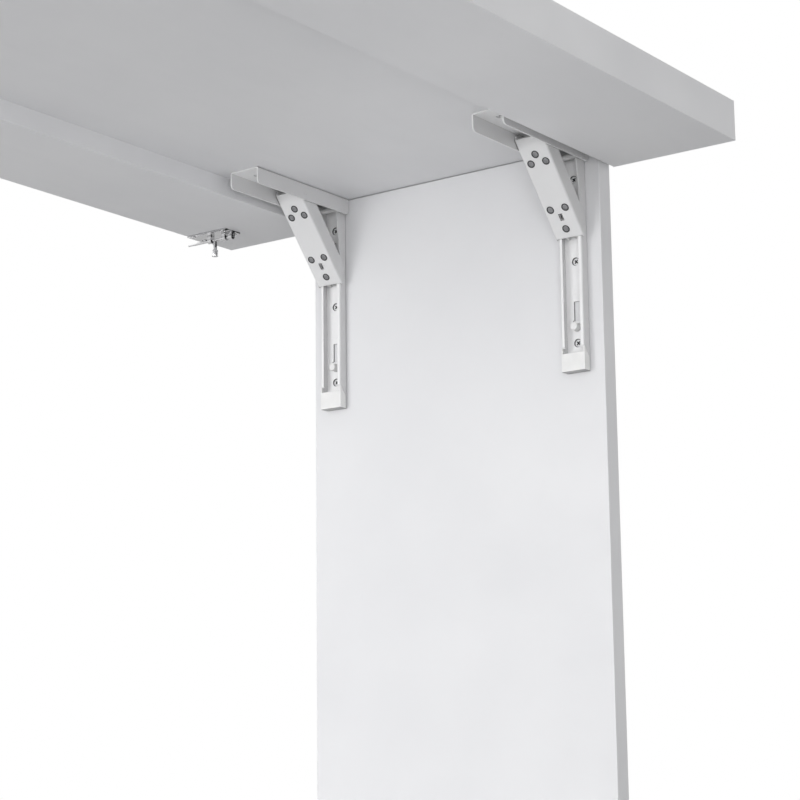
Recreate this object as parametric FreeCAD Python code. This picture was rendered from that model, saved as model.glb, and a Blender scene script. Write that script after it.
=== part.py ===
"""Secretary desk with a tray-backed top and two folding leg panels.

The top is a board with a full-length rail under its front and rear edges.  A leg panel
stands between the rails at each end and folds in under the top on two steel brackets.
Each bracket is an arm channel on the top, a channel on the leg and a strut that
straddles both.  A slide bolt is fitted under the rear rail near each end.

Units are millimetres.  X runs along the desk, -Y is the front, Z is up.  The origin is
on the floor, under the middle of the whole desk's bounding box.
"""
import FreeCAD, Part
import math
import os

V = FreeCAD.Vector
MITRED = 1              # FreeCAD's corner style for a swept section

# ---------------------------------------------------------------- driving dimensions
DESK_LENGTH = 1500.0
DESK_DEPTH = 570.0
DESK_HEIGHT = 740.0
BOARD = 18.0            # thickness of every board
RAIL_WIDTH = 121.0      # front and rear rails under the top
PANEL_WIDTH = 321.0     # leg panel, measured along Y
PANEL_GAP = 3.5         # between a leg panel's edge and a rail
PANEL_INSET = 2.2       # leg panel's outer face to the desk's end
PANEL_TOP_GAP = 0.6     # leg panel's top edge to the underside of the top
BAND = 1.0              # edge banding
EASE = 0.6              # eased outer edges
GLIDE_HEIGHT = 3.0
BOLT_PROUD = 8.0        # a shot bolt stands this far past the rear edge

# Bracket section sizes, all symmetric about the bracket's own middle plane.
ARM_HALF = 16.3
ARM_SHEET = 1.4
ARM_REACH = 135.9
ARM_DEPTH = 15.7
STRUT_HALF = 14.5
STRUT_SHEET = 1.3
STRUT_ANGLE = -49.8     # direction of the strut's web below +X, leg open
CHANNEL_HALF = 11.9
CHANNEL_SHEET = 1.3
CHANNEL_DEPTH = 9.8
CHANNEL_BOTTOM = -204.0
FLANGE_CUT_TOP = -181.7     # a slanting cut ends the flanges between these heights
FLANGE_CUT_LOW = -191.4
FLANGE_REST_X = -1.9    # below the cut only this much of the flanges is left
CAP_FACE_X = -10.0
CAP_TOP = -187.8
CAP_GAP = 0.5           # the cap's cheeks stay this far below the slanting cut
LIP_INNER = 8.3
EAR_INNER = 6.6         # the strut's ears and the shoe pass between the lips
EAR_OUTER = 7.9
BRACKET_INSET = 26.0    # bracket middle plane to the leg panel's edge

# Linkage, in the corner frame: x = 0 is the leg panel's inner face and z = 0 is the
# underside of the top.
CORNER_PIVOT = (-10.0, -10.5)
STRUT_PIVOT = (-67.0, -9.0)
SHOE_PIVOT = (-6.5, -76.0)
PIN_RADIUS = 2.5
RIVET_PIN_RADIUS = 2.0
SHOE_PIN_RADIUS = 1.75
RUNNING_FIT = 0.08

# ---------------------------------------------------------------- derived places
TOP_Z = DESK_HEIGHT
UNDER_Z = TOP_Z - BOARD
RAIL_Z = UNDER_Z - BOARD
FRONT_Y = -(DESK_DEPTH + BOLT_PROUD) / 2.0
REAR_Y = FRONT_Y + DESK_DEPTH
FACE_X = DESK_LENGTH / 2.0 - PANEL_INSET - BOARD     # leg panel's inner face
PANEL_FRONT_Y = FRONT_Y + RAIL_WIDTH + PANEL_GAP
PANEL_REAR_Y = PANEL_FRONT_Y + PANEL_WIDTH
BRACKET_Y = {"front": PANEL_FRONT_Y + BRACKET_INSET, "rear": PANEL_REAR_Y - BRACKET_INSET}
SIDES = ("right", "left")
ENDS = ("front", "rear")

# Strut features, as distances along the strut from its upper pivot.
WEB_OFFSET = -5.0       # outer face of the strut's web, from the upper pivot
FLANGE_OFFSET = 10.4    # free edge of the strut's flanges
UPPER_RIVETS = ((11.6, 0.0), (19.6, 7.6), (19.6, -7.6))
LOWER_RIVETS = ((65.2, 7.6), (65.2, -7.6), (85.3, 0.0))
STRUT_WINDOW_AT = 73.8
STRUT_END = 95.5
WEB_END_X = -10.1       # the web and lug stop here, just clear of the leg channel
FLANGE_END_X = -7.0     # the flanges stop here, beside the leg channel
FLANGE_END_Z = (-65.9, -83.3)

ARM_SCREWS_X = (-117.0, -92.0, -30.0)
CHANNEL_SCREWS_Z = (-29.2, -104.2, -177.8)
SCREW_HEAD_RADIUS = 3.65
SCREW_SUNK = 0.80       # a screw's flat head lies this far below the sheet's face
SCREW_CONE = 1.75       # height of the head's cone
SLOT_TOP_Z = -140.3     # slot in a leg channel's base, with a cross slit at its end
SLOT_END_Z = -157.4
SLOT_HALF = 2.8
SLIT_HALF = 4.2
BUTTON_Z = -163.7
BUTTON_RADIUS = 3.5
BUTTON_BORE = 3.8
BUTTON_PROUD = 8.0      # from the leg panel's inner face
BUTTON_FLANGE_RADIUS = 4.6
BUTTON_WELL_RADIUS = 4.9
BUTTON_WELL_DEPTH = 8.2
FORK_HALF = 3.9         # the shoe's open lower end straddles the button
SPRING_START_X = 1.7
SPRING_LENGTH = 6.2
SPRING_TURNS = 4.8
SPRING_RADIUS = 1.55
SPRING_WIRE_RADIUS = 0.22

# Slide bolt, measured from the rear edge of the desk and the underside of the rail.
BOLT_X = FACE_X - 35.5
BOLT_PLATE_LENGTH = 50.0
BOLT_PLATE_WIDTH = 24.0
BOLT_ROD_RADIUS = 1.25
BOLT_TIP_RADIUS = 1.05
BOLT_TIP_START = 0.4
BOLT_ROD_DROP = 6.0
BOLT_KEEPER_WALL = 1.4
BOLT_KEEPERS = ((-23.5, -19.0), (-41.7, -37.35), (-50.0, -45.8))
BOLT_KNOB_Y = -27.0
BOLT_SPIGOT_RADIUS = 0.7


# ---------------------------------------------------------------- geometry helpers
def box(x0, x1, y0, y1, z0, z1):
    """A box between two corners."""
    return Part.makeBox(x1 - x0, y1 - y0, z1 - z0, V(x0, y0, z0))


def rod(radius, start, direction, length):
    """A cylinder from a start point along a direction."""
    return Part.makeCylinder(radius, length, V(*start), V(*direction))


def outline(corners):
    """A closed wire in the XZ plane from (x, z, radius) corners, rounded by arcs."""
    count = len(corners)
    arcs = []
    for i, (x, z, radius) in enumerate(corners):
        here = V(x, 0, z)
        back = V(corners[i - 1][0], 0, corners[i - 1][1]) - here
        ahead = V(corners[(i + 1) % count][0], 0, corners[(i + 1) % count][1]) - here
        if radius <= 0:
            arcs.append((here, None, here))
            continue
        back.normalize()
        ahead.normalize()
        half = back.getAngle(ahead) / 2.0
        reach = radius / math.tan(half)
        middle = back + ahead
        middle.normalize()
        apex = here + middle * (radius / math.sin(half) - radius)
        arcs.append((here + back * reach, apex, here + ahead * reach))
    edges = []
    for i, (start, apex, end) in enumerate(arcs):
        if apex is not None:
            edges.append(Part.Arc(start, apex, end).toShape())
        following = arcs[(i + 1) % count][0]
        if end.distanceToPoint(following) > 1e-6:
            edges.append(Part.LineSegment(end, following).toShape())
    return Part.Wire(edges)


def plate_xz(corners, y0, y1):
    """An XZ outline extruded between two Y values."""
    face = Part.Face(outline(corners))
    face.translate(V(0, y0, 0))
    return face.extrude(V(0, y1 - y0, 0))


def rounded(shape, radius, picks):
    """Fillet the edges for which picks(middle, direction) is true."""
    chosen = []
    for edge in shape.Edges:
        if edge.Curve.TypeId != "Part::GeomLine":
            continue
        first, last = edge.Vertexes[0].Point, edge.Vertexes[-1].Point
        run = last - first
        run.normalize()
        if picks((first + last) * 0.5, run):
            chosen.append(edge)
    return shape.makeFillet(radius, chosen)


def along(axis):
    """A direction test for rounded(): true where an edge runs along one axis."""
    return lambda run: abs(getattr(run, axis)) > 0.999


def strut_point(u, n):
    """Corner-frame (x, z) of a point u along and n across the strut."""
    angle = math.radians(STRUT_ANGLE)
    x = STRUT_PIVOT[0] + u * math.cos(angle) - n * math.sin(angle)
    z = STRUT_PIVOT[1] + u * math.sin(angle) + n * math.cos(angle)
    return x, z


def strut_outline(corners):
    """Turn (u, n, radius) corners on the strut into corner-frame outline corners."""
    return [strut_point(u, n) + (radius,) for u, n, radius in corners]


def strut_normal():
    """Unit vector from the strut's web towards the corner of the bracket."""
    angle = math.radians(STRUT_ANGLE)
    return V(-math.sin(angle), 0, math.cos(angle))


def cross_recess(centre, inward, size, depth):
    """The cross-shaped driver recess of a screw, as a cutting tool."""
    frame = FreeCAD.Placement(V(*centre), FreeCAD.Rotation(V(0, 0, 1), V(*inward)))
    tool = None
    for long_x, long_y in ((size, size * 0.22), (size * 0.22, size)):
        bar = box(-long_x / 2, long_x / 2, -long_y / 2, long_y / 2, -0.2, depth)
        tool = bar if tool is None else tool.fuse(bar)
    tool.Placement = frame
    return tool


def domed_screw(seat, inward, head_radius, head_height, shank_radius, length):
    """A low domed-head screw; seat is on the face that the head bears on."""
    axis = V(*inward)
    base = V(*seat)
    rim = head_height * 0.45
    shaft = Part.makeCylinder(shank_radius, length - 2.0, base, axis)
    tip = Part.makeCone(shank_radius, 0.4, 2.0, base + axis * (length - 2.0), axis)
    disc = Part.makeCylinder(head_radius, rim, base - axis * rim, axis)
    crown = Part.makeCone(head_radius * 0.62, head_radius, head_height - rim,
                          base - axis * head_height, axis)
    body = shaft.fuse([tip, disc, crown]).removeSplitter()
    top = base - axis * head_height
    recess = cross_recess(tuple(top), tuple(axis), head_radius * 1.05, head_height * 0.75)
    return body.cut(recess)


def sunk_screw(face, inward, shank_radius, length):
    """A countersunk screw whose flat head lies just below a point on the sheet's face."""
    axis = V(*inward)
    base = V(*face) + axis * SCREW_SUNK
    neck = base + axis * SCREW_CONE
    head = Part.makeCone(SCREW_HEAD_RADIUS, shank_radius, SCREW_CONE, base, axis)
    shaft = Part.makeCylinder(shank_radius, length - 2.0, neck, axis)
    tip = Part.makeCone(shank_radius, 0.4, 2.0, neck + axis * (length - 2.0), axis)
    body = head.fuse([shaft, tip]).removeSplitter()
    return body.cut(cross_recess(tuple(base), tuple(axis), 3.9, 1.2))


def sunk_hole(face, inward, hole_radius):
    """Cutting tool for a sunk screw's seat: a straight step, then a cone to the hole."""
    axis = V(*inward)
    base = V(*face) + axis * (SCREW_SUNK - 0.03)
    radius = SCREW_HEAD_RADIUS + 0.07
    step = Part.makeCylinder(radius, SCREW_SUNK + 1.0, base - axis * (SCREW_SUNK + 1.0), axis)
    cone = Part.makeCone(radius, hole_radius, SCREW_CONE, base, axis)
    through = Part.makeCylinder(hole_radius, SCREW_CONE + 1.0, base, axis)
    return step.fuse([cone, through])


# ---------------------------------------------------------------- the top
def dowel_places():
    """(x, y) of the dowels that join both rails to the top board."""
    span = DESK_LENGTH - 200.0
    rail_middles = (FRONT_Y + RAIL_WIDTH / 2.0, REAR_Y - RAIL_WIDTH / 2.0)
    return [(-span / 2.0 + span * i / 5.0, y) for y in rail_middles for i in range(6)]


def drill(shape, places, radius, z0, z1):
    """Cut vertical holes at (x, y) places between two heights."""
    holes = [rod(radius, (x, y, z0), (0, 0, 1), z1 - z0) for x, y in places]
    return shape.cut(holes)


def arm_screw_places():
    """(x, y) of every screw that holds a bracket arm to the top."""
    places = []
    for end in ENDS:
        for x in ARM_SCREWS_X:
            places.append((FACE_X + x, BRACKET_Y[end]))
            places.append((-FACE_X - x, BRACKET_Y[end]))
    return places


def bolt_screw_places():
    """(x, y) of the four screws of each slide bolt."""
    places = []
    for x in (BOLT_X, -BOLT_X):
        for dx in (-8.6, 8.6):
            for y in (-6.0, -44.0):
                places.append((x + dx, REAR_Y + y))
    return places


def top_board():
    half = DESK_LENGTH / 2.0 - BAND
    board = box(-half, half, FRONT_Y + BAND, REAR_Y - BAND, UNDER_Z, TOP_Z)
    board = drill(board, dowel_places(), 4.05, UNDER_Z, UNDER_Z + 11.5)
    board = drill(board, arm_screw_places(), 2.05, UNDER_Z, UNDER_Z + 15.0)
    return board.cut([sunk_hole((x, y, UNDER_Z - ARM_SHEET), (0, 0, 1), 2.05)
                      for x, y in arm_screw_places()])


def rail(front):
    half = DESK_LENGTH / 2.0 - BAND
    y0 = FRONT_Y + BAND if front else REAR_Y - RAIL_WIDTH
    y1 = FRONT_Y + RAIL_WIDTH if front else REAR_Y - BAND
    board = box(-half, half, y0, y1, RAIL_Z, UNDER_Z)
    inner_y = y1 if front else y0
    board = rounded(board, EASE, lambda middle, run: along("x")(run)
                    and abs(middle.y - inner_y) < 0.01 and abs(middle.z - RAIL_Z) < 0.01)
    holes = [place for place in dowel_places() if y0 < place[1] < y1]
    board = drill(board, holes, 4.05, UNDER_Z - 15.0, UNDER_Z)
    screws = [place for place in bolt_screw_places() if y0 < place[1] < y1]
    if screws:
        board = drill(board, screws, 1.55, RAIL_Z, RAIL_Z + 12.0)
    return board


def long_edge_bands():
    """Front and rear bands, each covering the board and the rail together."""
    half = DESK_LENGTH / 2.0 - BAND
    bands = []
    for outer, inner in ((FRONT_Y, FRONT_Y + BAND), (REAR_Y, REAR_Y - BAND)):
        band = box(-half, half, min(outer, inner), max(outer, inner), RAIL_Z, TOP_Z)
        bands.append(rounded(band, EASE, lambda middle, run, face=outer: along("x")(run)
                             and abs(middle.y - face) < 0.01))
    return Part.makeCompound(bands)


def end_bands():
    """Right and left bands, which follow the top and both rails' ends."""
    open_y0 = FRONT_Y + RAIL_WIDTH
    open_y1 = REAR_Y - RAIL_WIDTH
    bands = []
    for side in (1.0, -1.0):
        outer = side * DESK_LENGTH / 2.0
        inner = outer - side * BAND
        band = box(min(outer, inner), max(outer, inner), FRONT_Y, REAR_Y, RAIL_Z, TOP_Z)
        band = band.cut(box(-DESK_LENGTH, DESK_LENGTH, open_y0, open_y1, RAIL_Z - 1, UNDER_Z))
        bands.append(rounded(band, EASE, lambda middle, run, face=outer:
                             abs(middle.x - face) < 0.01
                             and not open_y0 - 0.1 < middle.y < open_y1 + 0.1
                             or abs(middle.x - face) < 0.01
                             and abs(middle.z - TOP_Z) < 0.01))
    return Part.makeCompound(bands)


def rail_dowels():
    dowels = []
    for x, y in dowel_places():
        peg = rod(4.0, (x, y, UNDER_Z - 14.0), (0, 0, 1), 24.5)
        dowels.append(peg.makeChamfer(0.8, [e for e in peg.Edges if e.Closed]))
    return Part.makeCompound(dowels)


# ---------------------------------------------------------------- bracket pieces
# Every bracket piece is drawn in the corner frame with y = 0 on its middle plane.
def bracket_arm():
    """Channel on the top's underside, open downwards."""
    profile = [(-ARM_REACH, 0, 0), (-1.0, 0, 0), (-1.0, -ARM_DEPTH, 4.0),
               (-ARM_REACH, -ARM_DEPTH, 4.0)]
    shell = plate_xz(profile, -ARM_HALF, ARM_HALF)
    shell = rounded(shell, 1.9, lambda middle, run: along("x")(run)
                    and abs(middle.z) < 0.01)
    inner = ARM_HALF - ARM_SHEET
    hollow = box(-ARM_REACH - 1, 1, -inner, inner, -ARM_DEPTH - 1, -ARM_SHEET)
    hollow = rounded(hollow, 0.5, lambda middle, run: along("x")(run)
                     and abs(middle.z + ARM_SHEET) < 0.01)
    arm = shell.cut(hollow)
    cuts = [sunk_hole((x, 0, -ARM_SHEET), (0, 0, 1), 2.05) for x in ARM_SCREWS_X]
    for place, radius in ((CORNER_PIVOT, PIN_RADIUS), (STRUT_PIVOT, RIVET_PIN_RADIUS)):
        cuts.append(rod(radius + RUNNING_FIT, (place[0], -30, place[1]), (0, 1, 0), 60))
    return arm.cut(cuts)


def strut_side():
    """Corners of the strut's side, clear of the arm, the top and the leg panel."""
    upper = strut_outline([(-5.0, WEB_OFFSET, 0), (-7.0, 0.0, 3.0), (-5.4, 4.6, 1.0),
                           (-0.5, FLANGE_OFFSET, 1.0), (14.0, FLANGE_OFFSET, 0)])
    lower = [(FLANGE_END_X, height, 2.5) for height in FLANGE_END_Z]
    return upper + lower + strut_outline([(STRUT_END, WEB_OFFSET, 0)])


def strut():
    """Channel that braces the leg, with its web away from the corner."""
    shell = plate_xz(strut_side(), -STRUT_HALF, STRUT_HALF)
    web_start = V(strut_point(0, WEB_OFFSET)[0], 0, strut_point(0, WEB_OFFSET)[1])
    normal = strut_normal()
    shell = rounded(shell, 1.8, lambda middle, run: abs(run.y) < 0.01
                    and abs((middle - web_start).dot(normal)) < 0.01)
    inner = STRUT_HALF - STRUT_SHEET
    web_inner = WEB_OFFSET + STRUT_SHEET
    hollow = plate_xz(strut_outline([(-20, web_inner, 0), (-20, 30, 0), (120, 30, 0),
                                     (120, web_inner, 0)]), -inner, inner)
    body = shell.cut(hollow)
    pivot = (STRUT_PIVOT[0], -30, STRUT_PIVOT[1])
    body = body.cut(rod(RIVET_PIN_RADIUS + RUNNING_FIT, pivot, (0, 1, 0), 60))
    body = body.cut([rivet_hole(u, y) for u, y in UPPER_RIVETS + LOWER_RIVETS])
    return body.cut([strut_window(), channel_clearance(inner)])


def strut_window():
    """Cutting tool for the slot through the strut's web and the lug behind it."""
    u0, u1 = STRUT_WINDOW_AT - 3.4, STRUT_WINDOW_AT + 3.4
    n0, n1 = WEB_OFFSET - 1.0, WEB_OFFSET + 4.0
    return plate_xz(strut_outline([(u0, n0, 0), (u0, n1, 0), (u1, n1, 0), (u1, n0, 0)]),
                    -1.9, 1.9)


def channel_clearance(half_width):
    """Cutting tool for the space at the leg channel's mouth below the strut's web."""
    return box(WEB_END_X, 20, -half_width, half_width, -100.0, -74.0)


def rivet_hole(u, y):
    x, z = strut_point(u, WEB_OFFSET - 2.0)
    return Part.makeCylinder(2.05, 8.0, V(x, y, z), strut_normal())


def rivet(u, y, grip):
    """Flush tubular rivet through the strut's web and the lug behind it."""
    x, z = strut_point(u, WEB_OFFSET)
    base = V(x, y, z)
    normal = strut_normal()
    head = Part.makeCone(3.3, 3.6, 0.6, base - normal * 0.6, normal)
    shank = Part.makeCylinder(2.0, grip + 0.6, base, normal)
    tail = Part.makeCylinder(2.8, 0.6, base + normal * grip, normal)
    groove = Part.makeCylinder(2.55, 0.3, base - normal * 0.65, normal)
    groove = groove.cut(Part.makeCylinder(1.95, 0.3, base - normal * 0.65, normal))
    return head.fuse([shank, tail]).cut(groove)


def strut_rivets():
    grip = STRUT_SHEET + 1.5
    return Part.makeCompound([rivet(u, y, grip) for u, y in UPPER_RIVETS + LOWER_RIVETS])


def strut_upper_lug():
    """Thin U-shaped doubler inside the strut's top end."""
    outer = STRUT_HALF - STRUT_SHEET
    start = WEB_OFFSET + STRUT_SHEET
    side = [(-3.0, start, 0), (-4.6, 0.0, 3.0), (-2.4, 3.6, 2.0), (3.2, 3.6, 2.0),
            (25.0, start + 1.5, 0), (25.0, start, 0)]
    lug = plate_xz(strut_outline(side), -outer, outer)
    hollow = plate_xz(strut_outline([(-20, start + 1.5, 0), (-20, 20, 0), (40, 20, 0),
                                     (40, start + 1.5, 0)]), -outer + 0.8, outer - 0.8)
    lug = lug.cut(hollow)
    lug = lug.cut(plate_xz(strut_outline([(-9, -9, 0), (-9, 9, 0), (6.0, 9, 0),
                                          (6.0, -9, 0)]), -outer + 0.8, outer - 0.8))
    pivot = (STRUT_PIVOT[0], -30, STRUT_PIVOT[1])
    lug = lug.cut(rod(RIVET_PIN_RADIUS + RUNNING_FIT, pivot, (0, 1, 0), 60))
    return lug.cut([rivet_hole(u, y) for u, y in UPPER_RIVETS])


def strut_lower_lug():
    """Plate with two ears that reach into the leg channel and carry the shoe's pin."""
    start = WEB_OFFSET + STRUT_SHEET
    plate = plate_xz(strut_outline([(58.0, start, 0), (58.0, start + 1.5, 0),
                                    (94.0, start + 1.5, 0), (94.0, start, 0)]), -11.0, 11.0)
    plate = plate.cut([strut_window(), channel_clearance(12.0)])
    ears = []
    for y0, y1 in ((-EAR_OUTER, -EAR_INNER), (EAR_INNER, EAR_OUTER)):
        ear = plate_xz(strut_outline([(86.4, start + 0.5, 0), (86.4, 4.0, 2.0),
                                      (88.2, 6.2, 2.0), (92.2, 6.2, 2.0), (94.0, 4.0, 2.0),
                                      (94.0, start + 0.5, 0)]), y0, y1)
        ears.append(ear)
    lug = plate.fuse(ears).removeSplitter()
    pivot = (SHOE_PIVOT[0], -30, SHOE_PIVOT[1])
    lug = lug.cut(rod(SHOE_PIN_RADIUS + RUNNING_FIT, pivot, (0, 1, 0), 60))
    return lug.cut([rivet_hole(u, y) for u, y in LOWER_RIVETS])


def shoe():
    """Plastic shoe that runs in the leg channel, forked at its lower end."""
    x, z = SHOE_PIVOT
    side = [(x + 4.9, z - 8.0, 0.8), (x + 4.9, z + 14.0, 0.8), (x - 3.0, z + 14.0, 0.8),
            (x - 3.0, z - 3.6, 0), (x + 0.6, z - 8.0, 0)]
    body = plate_xz(side, -EAR_INNER + 0.3, EAR_INNER - 0.3)
    wings = box(x - 2.8, x + 4.7, -EAR_OUTER, EAR_OUTER, z + 5.6, z + 13.6)
    body = body.fuse(wings).removeSplitter()
    groove = box(x + 2.1, x + 8.0, -4.4, 4.4, z - 20, z + 20)
    fork = box(x - 8.0, x + 8.0, -FORK_HALF, FORK_HALF, z - 20.0, z - 2.2)
    pin = rod(SHOE_PIN_RADIUS, (x, -20, z), (0, 1, 0), 40)
    return body.cut([groove, fork, pin])


def shoe_pin():
    x, z = SHOE_PIVOT
    return rod(SHOE_PIN_RADIUS, (x, -EAR_OUTER, z), (0, 1, 0), 2 * EAR_OUTER)


def corner_pin():
    """Pin on which the leg channel turns in the arm, with a shoulder at each end."""
    x, z = CORNER_PIVOT
    pin = rod(PIN_RADIUS, (x, -ARM_HALF, z), (0, 1, 0), 2 * ARM_HALF)
    for y in (-14.6, 12.2):
        pin = pin.fuse(rod(4.0, (x, y, z), (0, 1, 0), 2.4))
    return pin.removeSplitter()


def strut_pivot_rivets():
    """Two short headed rivets that join the arm's sides to the strut's sides."""
    x, z = STRUT_PIVOT
    inner = STRUT_HALF - STRUT_SHEET - 0.8
    rivets = []
    for side in (1, -1):
        shank = rod(RIVET_PIN_RADIUS, (x, side * inner, z), (0, side, 0), ARM_HALF - inner)
        rivets.append(shank)
    return rivets


def leg_channel():
    """Channel on the leg panel, with in-turned lips that keep the shoe in."""
    ear_x, ear_z = CORNER_PIVOT
    depth = CHANNEL_DEPTH
    profile = [(0, -6.0, 0), (ear_x, ear_z + 5.4, 2.0), (ear_x - 4.9, ear_z + 3.6, 3.0),
               (ear_x - 4.4, ear_z - 6.0, 2.0), (-depth, -55.0, 0), (-depth, FLANGE_CUT_TOP, 0),
               (FLANGE_REST_X, FLANGE_CUT_LOW, 0.8), (FLANGE_REST_X, CHANNEL_BOTTOM, 0),
               (0, CHANNEL_BOTTOM, 0)]
    shell = plate_xz(profile, -CHANNEL_HALF, CHANNEL_HALF)
    shell = rounded(shell, 1.7, lambda middle, run: along("z")(run) and abs(middle.x) < 0.01)
    shell = rounded(shell, 2.0, lambda middle, run: along("z")(run)
                    and abs(middle.x + depth) < 0.01)
    inner = CHANNEL_HALF - CHANNEL_SHEET
    hollow = box(-40, -CHANNEL_SHEET, -inner, inner, CHANNEL_BOTTOM - 1, 0)
    channel = shell.cut(hollow)
    lips = []
    for side in (1, -1):
        y0, y1 = sorted((side * LIP_INNER, side * (inner + 0.4)))
        lips.append(box(-depth, -depth + 1.2, y0, y1, -184.0, -57.0).common(shell))
    channel = channel.fuse(lips).removeSplitter()
    x, z = CORNER_PIVOT
    holes = [rod(PIN_RADIUS + RUNNING_FIT, (x, -30, z), (0, 1, 0), 60)]
    for height in CHANNEL_SCREWS_Z:
        holes.append(sunk_hole((-CHANNEL_SHEET, 0, height), (1, 0, 0), 1.95))
    holes.append(rod(BUTTON_BORE, (-5, 0, BUTTON_Z), (1, 0, 0), 10))
    holes.append(rod(2.0, (-5, 0, -43.0), (1, 0, 0), 10))
    holes.append(box(-5, 5, -SLOT_HALF, SLOT_HALF, SLOT_END_Z, SLOT_TOP_Z))
    holes.append(box(-5, 5, -SLIT_HALF, SLIT_HALF, SLOT_END_Z - 0.7, SLOT_END_Z + 0.1))
    return channel.cut(holes)


def channel_end_cap():
    """Plug for the bottom end of a leg channel, with cheeks flush with its flanges."""
    inner = CHANNEL_HALF - CHANNEL_SHEET - 0.1
    plug = box(CAP_FACE_X, -CHANNEL_SHEET, -inner, inner, CHANNEL_BOTTOM, CAP_TOP)
    back_x = FLANGE_REST_X - 0.2
    cheeks = plate_xz([(CAP_FACE_X, FLANGE_CUT_TOP - CAP_GAP, 0),
                       (back_x, FLANGE_CUT_LOW - CAP_GAP, 0),
                       (back_x, CHANNEL_BOTTOM, 0), (CAP_FACE_X, CHANNEL_BOTTOM, 0)],
                      -CHANNEL_HALF, CHANNEL_HALF)
    cheeks = cheeks.cut(box(-20, 20, -inner, inner, CAP_TOP, 0))
    cap = plug.fuse(cheeks).removeSplitter()
    cap = rounded(cap, 0.35, lambda middle, run: abs(middle.x - CAP_FACE_X) < 0.01)
    cavity = box(-7.8, -CHANNEL_SHEET, -inner + 2.2, inner - 2.2, -200.5, CAP_TOP + 1.0)
    return cap.cut(cavity)


def detent_button():
    """Round spring button with a flange that keeps it behind the leg channel's base."""
    button = rod(BUTTON_RADIUS, (-BUTTON_PROUD, 0, BUTTON_Z), (1, 0, 0), BUTTON_PROUD + 3.4)
    button = button.makeFillet(0.7, [edge for edge in button.Edges
                                     if edge.Closed and edge.BoundBox.XMax < -1.0])
    flange = rod(BUTTON_FLANGE_RADIUS, (0.3, 0, BUTTON_Z), (1, 0, 0), 1.2)
    hollow = rod(2.2, (-2.6, 0, BUTTON_Z), (1, 0, 0), 7.0)
    return button.fuse(flange).cut(hollow)


def button_spring():
    """Small coil spring under a button, drawn at the length that it has when pressed.

    Its wire follows the coil in short straight runs with mitred joints.
    """
    steps = round(SPRING_TURNS * 12)
    coil = []
    for i in range(steps + 1):
        turn = math.radians(360.0 * SPRING_TURNS * i / steps)
        coil.append(V(SPRING_START_X + SPRING_LENGTH * i / steps,
                      SPRING_RADIUS * math.cos(turn),
                      BUTTON_Z + SPRING_RADIUS * math.sin(turn)))
    section = Part.Wire(Part.makeCircle(SPRING_WIRE_RADIUS, coil[0], coil[1] - coil[0]))
    return Part.makePolygon(coil).makePipeShell([section], True, False, MITRED)


# ---------------------------------------------------------------- leg pieces
def in_desk(shape, end, side):
    """Place a corner-frame bracket piece at one of the four corners."""
    placed = shape.copy()
    placed.translate(V(FACE_X, BRACKET_Y[end], UNDER_Z))
    if side == "left":
        placed = placed.mirror(V(0, 0, 0), V(1, 0, 0))
    return placed


def on_side(shape, side):
    """Mirror a right-hand leg piece for the left end."""
    return shape if side == "right" else shape.mirror(V(0, 0, 0), V(1, 0, 0))


def panel_fixing_holes():
    """Pilot holes and button bores in the right leg panel's inner face."""
    holes = []
    for end in ENDS:
        for height in CHANNEL_SCREWS_Z:
            face = (FACE_X - CHANNEL_SHEET, BRACKET_Y[end], UNDER_Z + height)
            holes.append(sunk_hole(face, (1, 0, 0), 1.95))
            holes.append(rod(1.95, face, (1, 0, 0), 16.5))
        start = (FACE_X - 1, BRACKET_Y[end], UNDER_Z + BUTTON_Z)
        holes.append(rod(BUTTON_WELL_RADIUS, start, (1, 0, 0), BUTTON_WELL_DEPTH + 1))
    return holes


def leg_panel(side):
    z0 = GLIDE_HEIGHT + BAND
    z1 = UNDER_Z - PANEL_TOP_GAP - BAND
    panel = box(FACE_X, FACE_X + BOARD, PANEL_FRONT_Y + BAND, PANEL_REAR_Y - BAND, z0, z1)
    panel = panel.cut(panel_fixing_holes() + glide_nail_holes())
    return on_side(panel, side)


def leg_edge_band(side):
    """Band round all four edges of a leg panel."""
    z0 = GLIDE_HEIGHT
    z1 = UNDER_Z - PANEL_TOP_GAP
    ring = box(FACE_X, FACE_X + BOARD, PANEL_FRONT_Y, PANEL_REAR_Y, z0, z1)
    ring = ring.makeFillet(EASE, [edge for edge in ring.Edges
                                  if abs(edge.Vertexes[0].X - edge.Vertexes[-1].X) < 0.01])
    core = box(FACE_X - 1, FACE_X + BOARD + 1, PANEL_FRONT_Y + BAND, PANEL_REAR_Y - BAND,
               z0 + BAND, z1 - BAND)
    return on_side(ring.cut([core] + glide_nail_holes()), side)


def glide_places():
    return [(FACE_X + BOARD / 2.0, y) for y in (PANEL_FRONT_Y + 40.0, PANEL_REAR_Y - 40.0)]


def glide_nail_holes():
    return [rod(1.3, (x, y, 0), (0, 0, 1), 18.0) for x, y in glide_places()]


def leg_glides(side):
    """Nail-on plastic glides under a leg panel."""
    glides = []
    for x, y in glide_places():
        pad = rod(7.5, (x, y, 0), (0, 0, 1), GLIDE_HEIGHT)
        pad = pad.makeFillet(1.0, [e for e in pad.Edges if e.Closed and e.BoundBox.ZMax < 0.01])
        glides.append(pad.fuse(rod(1.25, (x, y, 1.0), (0, 0, 1), 16.0)))
    return on_side(Part.makeCompound(glides), side)


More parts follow.
